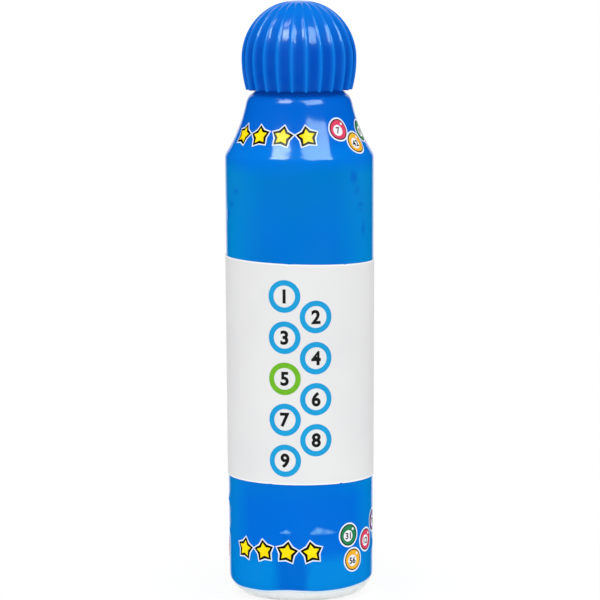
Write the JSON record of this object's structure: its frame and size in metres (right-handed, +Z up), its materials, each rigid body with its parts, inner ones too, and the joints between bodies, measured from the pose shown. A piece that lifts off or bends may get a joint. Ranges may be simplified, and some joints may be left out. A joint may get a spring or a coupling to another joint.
{
  "type": "bingo dauber",
  "caption": "Upright ink bottle with a flared shoulder, a spring-valve foam dabbing tip and a ribbed dome screw cap, in a blue shrink sleeve with a white wrap label.",
  "frame": {"origin": "centre of the base, on the surface that the dauber stands on", "axes": "+Z up along the bottle's axis to the cap; -Y is the front, and the label's ends meet at the back, on +Y"},
  "size_m": [0.035, 0.035, 0.1399],
  "materials": {
    "bottle_plastic": "white blow-moulded polyethylene, satin gloss",
    "sleeve_film": "bright blue printed shrink film, glossy",
    "label_film": "white label, satin",
    "fitment_plastic": "natural moulded polyethylene",
    "tip_foam": "open-cell foam",
    "tip_weave": "fine woven nylon, stained blue",
    "seal_rubber": "black rubber",
    "spring_wire": "drawn stainless wire",
    "cap_plastic": "royal blue moulded polypropylene, glossy",
    "gasket_plastic": "soft white sealing ring"
  },
  "bodies": {
    "bottle": {"bottle": "bottle_plastic", "shrink_sleeve": "sleeve_film", "wrap_label": "label_film", "applicator_housing": "fitment_plastic", "retaining_ring": "fitment_plastic", "valve_spring": "spring_wire"},
    "tip": {"foam_pad": "tip_foam", "tip_cover": "tip_weave", "valve_plunger": "fitment_plastic", "valve_disc": "fitment_plastic", "valve_seal": "seal_rubber"},
    "gasket": {"cap_gasket": "gasket_plastic"},
    "cap": {"cap": "cap_plastic"}
  },
  "joints": [
    {"name": "tip_press", "type": "slide", "parent": "bottle", "child": "tip", "axis": [0, 0, -1], "range_m": [0, 0.0015], "stiffness_N_per_m": 1500, "springref_m": -0.001, "deforming": ["valve_spring"]},
    {"name": "cap_rise", "type": "slide", "parent": "bottle", "child": "gasket", "axis": [0, 0, 1], "range_m": [0, 0.018]},
    {"name": "cap_turn", "type": "hinge", "parent": "gasket", "child": "cap", "pos_m": [0, 0, 0.119], "axis": [0, 0, 1], "range_deg": [0, 1080]}
  ],
  "couplings": [
    {"joint": "cap_rise", "follows": "cap_turn", "m_per_rad": 0.0009549}
  ]
}
